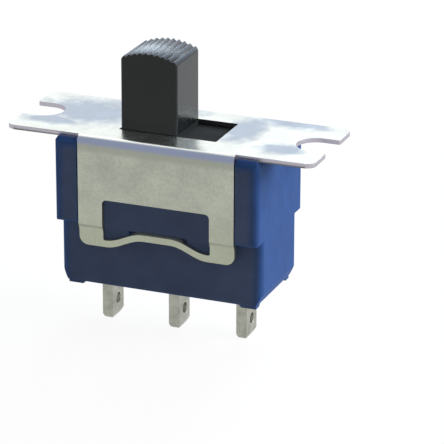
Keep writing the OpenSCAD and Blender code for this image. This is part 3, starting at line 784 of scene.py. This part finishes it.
def blank_outline(s, unfolded, slot_steps=12):
    """Outline of the flat blank, whose ends carry the slots and whose sides are not yet folded."""
    low, end = -FRAME_BOX[0].z, FRAME_BOX[1].x
    round_end = (math.pi / 2 * (1 - i / slot_steps) for i in range(slot_steps + 1))
    quarter = [(s.slot_spacing / 2 - s.slot_width / 2 * math.sin(a), s.slot_width / 2 * math.cos(a), 0)
               for a in round_end]
    quarter += [(end, s.slot_width / 2, s.slot_lip), (end, s.ear_width / 2, s.ear_corner),
                (s.side / 2, s.ear_width / 2, 0), (s.side / 2, unfolded(low), s.side_corner)]
    quarter += [(x, unfolded(low - rise), 0) for x, rise in arch_points(s)]
    return filleted(mirrored(mirrored(quarter, 0), 1), steps=7)


def side_opening(s, unfolded, side):
    """The opening in one side, whose lower edge follows the strap's arch."""
    low = -FRAME_BOX[0].z - s.strap
    half = [(s.opening / 2, unfolded(s.opening_top), s.opening_corner),
            (s.opening / 2, unfolded(low), s.opening_lower_corner)]
    half += [(x, unfolded(low - rise), 0) for x, rise in arch_points(s)]
    return [(x, side * y) for x, y in filleted(mirrored(half, 0))]


def sheet_direction(point, s):
    """The direction square to the sheet nearest to a point."""
    line = FRAME_BOX[1].y - s.fold
    if abs(point.x) > s.side / 2 + s.edge or abs(point.y) <= line:
        return Vector((0, 0, 1))
    if point.z < -s.fold:
        return Vector((0, 1, 0))
    return Vector((0, point.y - math.copysign(line, point.y), point.z + s.fold)).normalized()


class SWITCH_OT_frame(bpy.types.Operator):
    """Cut the frame's blank, fold its sides and round its sheared edges"""

    bl_idname = "switch.make_frame"
    bl_label = "Frame"

    def execute(self, context):
        s = context.scene.slide_switch.frame
        line = FRAME_BOX[1].y - s.fold
        flat_to_side = line + s.fold * (math.pi / 2 - 1)
        fold_steps = 8

        def unfolded(depth):
            return flat_to_side + depth

        window = box_outline(-s.window / 2, s.window / 2, -s.window_width / 2, s.window_width / 2,
                             s.window_corner, steps=3)
        openings = [side_opening(s, unfolded, side) for side in (1, -1)]
        blank = sheet_with_holes(blank_outline(s, unfolded), [window, *openings])
        turns = [line + s.fold * math.pi / 2 * i / fold_steps for i in range(fold_steps + 1)]
        crimp = [unfolded(s.crimp_depth), unfolded(s.crimp_depth + s.crimp_height)]
        divide_sheet(blank, [side * y for y in turns + crimp for side in (-1, 1)])
        colours = context.scene.slide_switch.finish
        metal = plated_sheet("plated_steel", colours, line, s.crimp_depth + 0.12 * MM)
        made = piece("switch_frame", blank, metal)
        run_tree(made, "Fold the blank", folded_blank, {
            "Fold line": line, "Fold radius": s.fold, "Crimp": s.crimp, "Crimp depth": s.crimp_depth,
            "Crimp height": s.crimp_height}, metal)
        modified(made, "SOLIDIFY", thickness=s.sheet, offset=-1, use_even_offset=True)
        round_edges(made, s.edge, segments=3, angle=40)
        across = 0.4
        mark_faces(made, "cut", lambda face: abs(face.normal.dot(sheet_direction(face.center, s))) < across)
        put(made, "switch_body", "plated_steel", "frame")
        return {"FINISHED"}


# ---- Moulded pieces ----


class SWITCH_OT_case(bpy.types.Operator):
    """Mould the blue case with its rounded edges and fine texture"""

    bl_idname = "switch.make_case"
    bl_label = "Case"

    def execute(self, context):
        sizes = context.scene.slide_switch
        # The case's edges take the brighter blue of painted light shining through them.
        blue = moulded("blue_moulding", sizes.finish.blue, rough=(0.8, 0.95), texture=0.004, gloss=1.0,
                       edge_wear_and_light_rgb=sizes.finish.blue_edge_glow,
                       side_shade=(sizes.finish.side_shade, (CASE_BOX[1].x, CASE_BOX[1].z)))
        made = refined("case", "switch_case", blue, sizes.moulding.edge, "switch_body", "blue_moulding",
                       segments=3)
        # The long sides are marked for painted shade.
        long_side = 0.9
        mark_faces(made, "side_shade", lambda face: abs(face.normal.y) > long_side)
        return {"FINISHED"}


class SWITCH_OT_knob(bpy.types.Operator):
    """Mould the slider: ridged knob, flange and spring housing with its bore"""

    bl_idname = "switch.make_knob"
    bl_label = "Knob"

    def execute(self, context):
        s = context.scene.slide_switch.knob
        # The knob's crests get a pale bluish tone of painted light.
        black = moulded("black_nylon", context.scene.slide_switch.finish.black, rough=(0.16, 0.3),
                        texture=0.0022, gloss=0.29, speck=0.8, edge_wear_and_light_rgb=(0.035, 0.042, 0.05), scuffed=0.7,
                        crest_light_rgb=(0.085, 0.122, 0.185))
        low, high = KNOB_BOX
        middle = (low.x + high.x) / 2
        joint = -s.flange_top - s.flange / 2
        housing_corner = 0.1 * MM
        made = piece("switch_knob", bmesh.new(), black)
        run_tree(made, "Ridged grip", ridged_grip, {
            "Length": s.size, "Width": s.width, "Shoulder": s.shoulder, "Crown": s.crown, "Groove": s.groove,
            "Ridges": s.ridges, "Foot": joint, "Middle": middle}, black)
        self.round_uprights(made, middle, s)
        flange = prism(box_outline(low.x, high.x, low.y, high.y, s.flange_corner, steps=6),
                       -s.flange_top - s.flange, -s.flange_top)
        housing = prism(box_outline(middle - s.housing / 2, middle + s.housing / 2,
                                    -s.housing_width / 2, s.housing_width / 2, housing_corner, steps=3),
                        low.z, joint)
        bore = prism(ring(middle, 0, s.bore, sides=48), low.z - 1 * MM, SPRING_BOX[1].z)
        combine(made, piece("flange", flange, black), "UNION")
        combine(made, piece("housing", housing, black), "UNION")
        combine(made, piece("bore", bore, black), "DIFFERENCE")
        round_edges(made, s.edge, angle=30)
        self.light_crests(made.data, middle, s)
        put(made, "slider", "black_nylon", "knob")
        return {"FINISHED"}

    @staticmethod
    def light_crests(mesh, middle, s):
        """Marks the ridges for painted light: 1 along their crests, fading to 0 in the grooves."""
        facing_up, lowest = 0.35, s.shoulder - s.groove * 2
        radius = (s.size * s.size / 4 + s.crown * s.crown) / (2 * s.crown)
        crest_light = mesh.attributes.new("crest_light", "FLOAT", "CORNER")
        for face in mesh.polygons:
            if face.normal.z < facing_up or face.center.z < lowest:
                continue
            for loop in face.loop_indices:
                x, _, z = mesh.vertices[mesh.loops[loop].vertex_index].co
                crest = s.shoulder + s.crown - radius + math.sqrt(radius * radius - (x - middle) ** 2)
                crest_light.data[loop].value = max(0.0, min(1.0, 1 - (crest - z) / s.groove))

    @staticmethod
    def round_uprights(made, middle, s):
        """Rounds the four upright edges of the grip."""
        bm = bmesh.new()
        bm.from_mesh(made.data)
        upright = [e for e in bm.edges if abs(e.verts[0].co.z - e.verts[1].co.z) > s.shoulder / 2]
        corners = [e for e in upright if abs(abs(e.verts[0].co.x - middle) - s.size / 2) < TOUCHING]
        bmesh.ops.bevel(bm, geom=corners, offset=s.corner, segments=5, profile=0.5, affect="EDGES")
        bm.to_mesh(made.data)
        bm.free()


class SWITCH_OT_spring(bpy.types.Operator):
    """Wind the contact spring"""

    bl_idname = "switch.make_spring"
    bl_label = "Contact spring"

    def execute(self, context):
        s = context.scene.slide_switch.spring
        steel = strip_metal("spring_steel", context.scene.slide_switch.finish.wire, rough=0.26,
                            stain_rgb=(0.34, 0.32, 0.3), relief=0.002, stretch=(3.0, 3.0, 3.0))
        low, high = SPRING_BOX
        made = piece("switch_contact_spring", bmesh.new(), steel)
        run_tree(made, "Coil", coil, {
            "Turns": s.turns, "Closed turns": s.closed, "Wire": s.wire,
            "Radius": (high.y - low.y) / 2 - s.wire / 2, "Length": high.z - low.z,
            "Middle": (low.x + high.x) / 2, "Foot": low.z}, steel)
        smooth(made, 50)
        put(made, "slider", "spring_steel", "contact_spring")
        return {"FINISHED"}


class SWITCH_OT_plunger(bpy.types.Operator):
    """Mould the plunger that presses on the rocker"""

    bl_idname = "switch.make_plunger"
    bl_label = "Plunger"

    def execute(self, context):
        sizes = context.scene.slide_switch
        acetal = moulded("plunger_plastic", sizes.finish.acetal, rough=(0.35, 0.5), texture=0.002,
                         gloss=0.4, speck=0.96)
        refined("plunger", "switch_plunger", acetal, sizes.metal.edge, "slider", "plunger_plastic")
        return {"FINISHED"}


class SWITCH_OT_seal(bpy.types.Operator):
    """Pour the resin that seals the terminals: it clings to the walls and lugs and dips between them"""

    bl_idname = "switch.make_seal"
    bl_label = "Terminal seal"

    def execute(self, context):
        s = context.scene.slide_switch.moulding
        lug = context.scene.slide_switch.terminals
        low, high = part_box("terminal_seal")
        left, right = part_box("terminal_left")[0].x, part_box("terminal_right")[1].x
        lugs = [((x, -lug.width / 2), (x + lug.thickness, lug.width / 2))
                for x in (left, -lug.thickness / 2, right - lug.thickness)]
        feet = [((x - s.foot, y - s.foot_width), (x + s.foot, y + s.foot_width))
                for x in (low.x, high.x) for y in (low.y, high.y)]

        def from_walls(point):
            return min([-past_box(point, low, high, s.seal_corner)] + [past_box(point, *box) for box in lugs])

        def place(point, upper):
            reach = min([from_walls(point)] + [past_box(point, *box) for box in feet])
            dip = s.seal_dip * (1 - math.exp(-max(0.0, reach) / s.seal_reach))
            return point.x, point.y, high.z if upper else low.z + dip

        columns, rows = (math.ceil((high[i] - low[i]) / s.seal_mesh) for i in (0, 1))
        grid = (Vector((low.x + (high.x - low.x) * i / columns, low.y + (high.y - low.y) * j / rows))
                for i in range(columns + 1) for j in range(rows + 1))
        clear_of_walls = s.seal_mesh * 0.6
        face = sheet_with_holes(
            divided(box_outline(low.x, high.x, low.y, high.y, s.seal_corner), s.seal_mesh),
            [divided(box_outline(x0, x1, y0, y1, 0), s.seal_mesh) for (x0, y0), (x1, y1) in lugs],
            [point for point in grid if from_walls(point) > clear_of_walls])
        filled = [f for f in face.faces if from_walls(f.calc_center_median()) < 0]
        bmesh.ops.delete(face, geom=filled, context="FACES")
        resin = cast_resin("epoxy", context.scene.slide_switch.finish.resin)
        made = smooth(piece("switch_terminal_seal", solid(face, place), resin), 50)
        put(made, "switch_body", "epoxy", "terminal_seal")
        return {"FINISHED"}


# ---- Contact parts ----


class SWITCH_OT_rocker(bpy.types.Operator):
    """Stamp the contact rocker and set its two silver contacts"""

    bl_idname = "switch.make_rocker"
    bl_label = "Rocker"

    def execute(self, context):
        sizes = context.scene.slide_switch
        edge = sizes.metal.edge
        copper = strip_metal("copper_alloy", sizes.finish.copper, rough=0.27, stain_rgb=(0.45, 0.24, 0.14),
                             relief=0.002, stretch=(1.0, 14.0, 14.0))
        silver = strip_metal("silver", sizes.finish.silver, rough=0.22, stain_rgb=(0.62, 0.58, 0.5),
                             relief=0.0015, stretch=(5.0, 5.0, 5.0))
        refined("rocker", "switch_rocker", copper, edge, "contact_rocker", "copper_alloy")
        for side in ("left", "right"):
            refined(f"rocker_contact_{side}", f"switch_rocker_contact_{side}", silver, edge,
                    "contact_rocker", "silver")
            refined(f"contact_{side}", f"switch_contact_{side}", silver, edge, "switch_body", "silver")
        return {"FINISHED"}


class SWITCH_OT_terminals(bpy.types.Operator):
    """Stamp the three tinned terminals"""

    bl_idname = "switch.make_terminals"
    bl_label = "Terminals"

    def execute(self, context):
        s = context.scene.slide_switch.terminals
        tinned = strip_metal("plated_terminal", context.scene.slide_switch.finish.lug, rough=0.3,
                             stain_rgb=(0.17, 0.17, 0.15), relief=0.006, stretch=(5.0, 5.0, 2.5),
                             bore_light_rgb=(0.6, 0.6, 0.55))
        for place, side in (("left", -1), ("centre", 0), ("right", 1)):
            low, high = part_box(f"terminal_{place}")
            if side:
                made = self.bent_lug(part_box(f"contact_{place}"), side, low, high, s)
            else:
                made = self.fulcrum_lug(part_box("terminal_left")[1].z - s.thickness, low, high, s)
            made = round_edges(piece(f"switch_terminal_{place}", made, tinned), s.edge, segments=3)
            hole = Vector((0, low.z + s.hole_height))
            # The wire holes' walls are marked for painted light.
            mark_faces(made, "bore_light", lambda face: (
                (face.center.yz - hole).length < s.hole * 1.02 and abs(face.normal.x) < 0.5))
            put(made, "switch_body", "plated_terminal", f"terminal_{place}")
        return {"FINISHED"}

    @staticmethod
    def thick(corners, holes, cuts, place):
        """A thick sheet with round holes, divided at some heights, whose faces follow a rule as in solid."""
        rings = [ring(0, height, radius, sides=40) for height, radius in holes]
        bm = sheet_with_holes(filleted(corners, steps=8), rings)
        divide_sheet(bm, cuts)
        return solid(bm, place)

    @staticmethod
    def half_thickness(height, tip, s):
        """Half the lug's thickness, which the bevels on its faces reduce towards the tip."""
        return s.thickness / 2 - s.bevel_width * max(0.0, 1 - (height - tip) / s.bevel_height)

    def bent_lug(self, contact, side, low, high, s):
        """An end lug, whose top is bent inward into the pad with the hole for its contact."""
        outer, pad_tip = (high.x, low.x) if side > 0 else (low.x, high.x)
        inner = outer - side * s.thickness
        base = high.z - s.thickness
        flat = base + s.thickness
        bend_steps = 8

        def place(point, outside):
            height = point.y
            if height <= base:
                half = self.half_thickness(height, low.z, s)
                return (outer + inner) / 2 + side * (half if outside else -half), point.x, height
            turn = math.pi / 2 * min(1.0, (height - base) / (flat - base))
            reach = s.thickness if outside else 0.0
            return (inner + side * (reach * math.cos(turn) - max(0.0, height - flat)), point.x,
                    base + reach * math.sin(turn))

        half = s.width / 2
        top = flat + abs(inner - pad_tip)
        rivet = flat + abs(inner - (contact[0].x + contact[1].x) / 2)
        bend = [base + (flat - base) * i / bend_steps for i in range(bend_steps + 1)]
        return self.thick(
            [(-half, low.z, s.tip_corner), (half, low.z, s.tip_corner), (half, top, 0), (-half, top, 0)],
            [(low.z + s.hole_height, s.hole), (rivet, s.shank)], [low.z + s.bevel_height, *bend], place)

    def fulcrum_lug(self, base, low, high, s):
        """The centre lug, with shoulders and the round top edge that the rocker sits on."""
        radius = s.thickness / 2
        middle = high.z - radius
        crest_steps = 8

        def place(point, front):
            height = point.y
            half = self.half_thickness(height, low.z, s)
            if height > middle:
                half = math.sqrt(max(0.0, radius * radius - (height - middle) ** 2))
            return half if front else -half, point.x, height

        half, shoulder = s.width / 2, high.y
        crest = [middle + radius * math.sin(math.pi / 2 * i / crest_steps) for i in range(crest_steps)]
        return self.thick(
            [(-half, low.z, s.tip_corner), (half, low.z, s.tip_corner), (half, base, 0), (shoulder, base, 0),
             (shoulder, high.z, 0), (-shoulder, high.z, 0), (-shoulder, base, 0), (-half, base, 0)],
            [(low.z + s.hole_height, s.hole)], [low.z + s.bevel_height, *crest], place)


# ---- Stage ----


class SWITCH_OT_stage(bpy.types.Operator):
    """Set the floor, the soft lamps and the camera"""

    bl_idname = "switch.make_stage"
    bl_label = "Stage"

    def execute(self, context):
        s = context.scene.slide_switch.stage
        context.scene.view_settings.view_transform = "Standard"
        self.camera(context, s)
        self.floor(s)
        self.world(context, s)
        self.lamp("key", s.key, place=(0.34, 0.06, 0.18), size=0.26, tint=(1.0, 0.98, 0.96))
        self.lamp("back", s.back, place=(0.014, 0.409, 0.287), size=0.2, tint=(0.78, 0.9, 1.0))
        self.lamp("side", s.side, place=(-0.26, 0.28, 0.36), size=0.2, tint=(1.0, 1.0, 0.97))
        return {"FINISHED"}

    @staticmethod
    def camera(context, s):
        aim = Vector((3.383, -1.005, -5.675)) * MM
        flat = math.cos(s.elevation)
        back = Vector((math.sin(s.azimuth) * flat, -math.cos(s.azimuth) * flat, math.sin(s.elevation)))
        right = Vector((math.cos(s.azimuth), math.sin(s.azimuth), 0))
        right.rotate(Matrix.Rotation(s.roll, 3, back))
        up = back.cross(right)
        turn = Matrix((right, up, back)).transposed()
        data = bpy.data.cameras.new("camera")
        data.lens = s.lens
        data.clip_start, data.clip_end = 0.01, 10
        camera = new_object("camera", data)
        camera.matrix_world = Matrix.Translation(aim + back * s.distance) @ turn.to_4x4()
        context.scene.camera = camera

    @staticmethod
    def seen(tree):
        """1 for rays from the camera, in gloss or through glass, and 0 for the light on other things."""
        path = tree.node("ShaderNodeLightPath").outputs
        rays = tree.math("MAXIMUM", path["Is Camera Ray"], path["Is Glossy Ray"])
        return rays.at_least(path["Is Transmission Ray"])

    def floor(self, s, radius=1.5):
        """A pale floor: white where it is seen, with a soft trace of the switch's shadow."""
        bm = bmesh.new()
        bmesh.ops.create_circle(bm, cap_ends=True, radius=radius, segments=96)
        bmesh.ops.translate(bm, verts=bm.verts, vec=(0, 0, CAD_BOX[0].z))
        pale = Finish("floor")
        mottle = pale.noise(0.03, 3.0)
        seen = self.seen(pale)
        lighting = pale.mix(mottle, rgba(s.floor, 0.985), rgba(s.floor, 1.015))
        pale.set(Base_Color=pale.mix(seen, lighting, (s.shadow, s.shadow, s.shadow, 1)), Roughness=0.9,
                 Specular_IOR_Level=0.0, Emission_Color=(1, 1, 1, 1), Emission_Strength=seen * s.white)
        from_below = pale.node("ShaderNodeNewGeometry").outputs["Backfacing"]
        clear = pale.node("ShaderNodeBsdfTransparent").outputs[0]
        surface = pale.node("ShaderNodeMixShader", {0: from_below, 1: pale.shader.outputs[0], 2: clear})
        pale.feed(pale.nodes["Material Output"].inputs["Surface"], surface.outputs[0])
        pale.material.cycles.emission_sampling = "NONE"
        piece("floor", bm, pale.material)

    def world(self, context, s):
        """A plain room: white where it is seen, softer as light."""
        world = bpy.data.worlds.new("room")
        world.use_nodes = True
        world.cycles.sampling_method = "NONE"
        context.scene.world = world
        tree = Tree(world.node_tree)
        background = tree.nodes["Background"]
        background.inputs["Color"].default_value = (1, 1, 1, 1)
        tree.feed(background.inputs["Strength"], self.seen(tree).ramp(0.0, 1.0, s.room, 1.0))

    @staticmethod
    def lamp(name, power, place, size, tint):
        data = bpy.data.lights.new(name, "AREA")
        data.shape = "SQUARE"
        data.size = size
        data.energy = power
        data.color = tint
        lamp = new_object(name, data)
        aimed = Vector(place).to_track_quat("Z", "Y").to_matrix().to_4x4()
        lamp.matrix_world = Matrix.Translation(place) @ aimed
        lamp.visible_camera = False


class SWITCH_PT_panel(bpy.types.Panel):
    """Lists the switch's pieces and their sizes"""

    bl_idname = "SWITCH_PT_panel"
    bl_label = "Slide switch"
    bl_space_type = "VIEW_3D"
    bl_region_type = "UI"
    bl_category = "Switch"

    def draw(self, context):
        for operator in OPERATORS:
            self.layout.operator(operator.bl_idname)
        for title in SWITCH_PG_all.__annotations__:
            box = self.layout.box()
            box.label(text=title.capitalize())
            group = getattr(context.scene.slide_switch, title)
            for name in type(group).__annotations__:
                box.prop(group, name)


OPERATORS = (
    SWITCH_OT_stage, SWITCH_OT_frame, SWITCH_OT_case, SWITCH_OT_knob, SWITCH_OT_spring, SWITCH_OT_plunger,
    SWITCH_OT_rocker, SWITCH_OT_terminals, SWITCH_OT_seal)
CLASSES = (
    SWITCH_PG_frame, SWITCH_PG_moulding, SWITCH_PG_knob, SWITCH_PG_spring, SWITCH_PG_metal,
    SWITCH_PG_terminals, SWITCH_PG_finish, SWITCH_PG_stage, SWITCH_PG_all, *OPERATORS, SWITCH_PT_panel)


def register():
    for made in CLASSES:
        bpy.utils.register_class(made)
    bpy.types.Scene.slide_switch = PointerProperty(type=SWITCH_PG_all)


def unregister():
    del bpy.types.Scene.slide_switch
    for made in reversed(CLASSES):
        bpy.utils.unregister_class(made)


def main():
    register()
    bpy.ops.switch.make_stage()
    bpy.ops.switch.make_frame()
    bpy.ops.switch.make_case()
    bpy.ops.switch.make_knob()
    bpy.ops.switch.make_spring()
    bpy.ops.switch.make_plunger()
    bpy.ops.switch.make_rocker()
    bpy.ops.switch.make_terminals()
    bpy.ops.switch.make_seal()


if __name__ == "__main__":
    main()
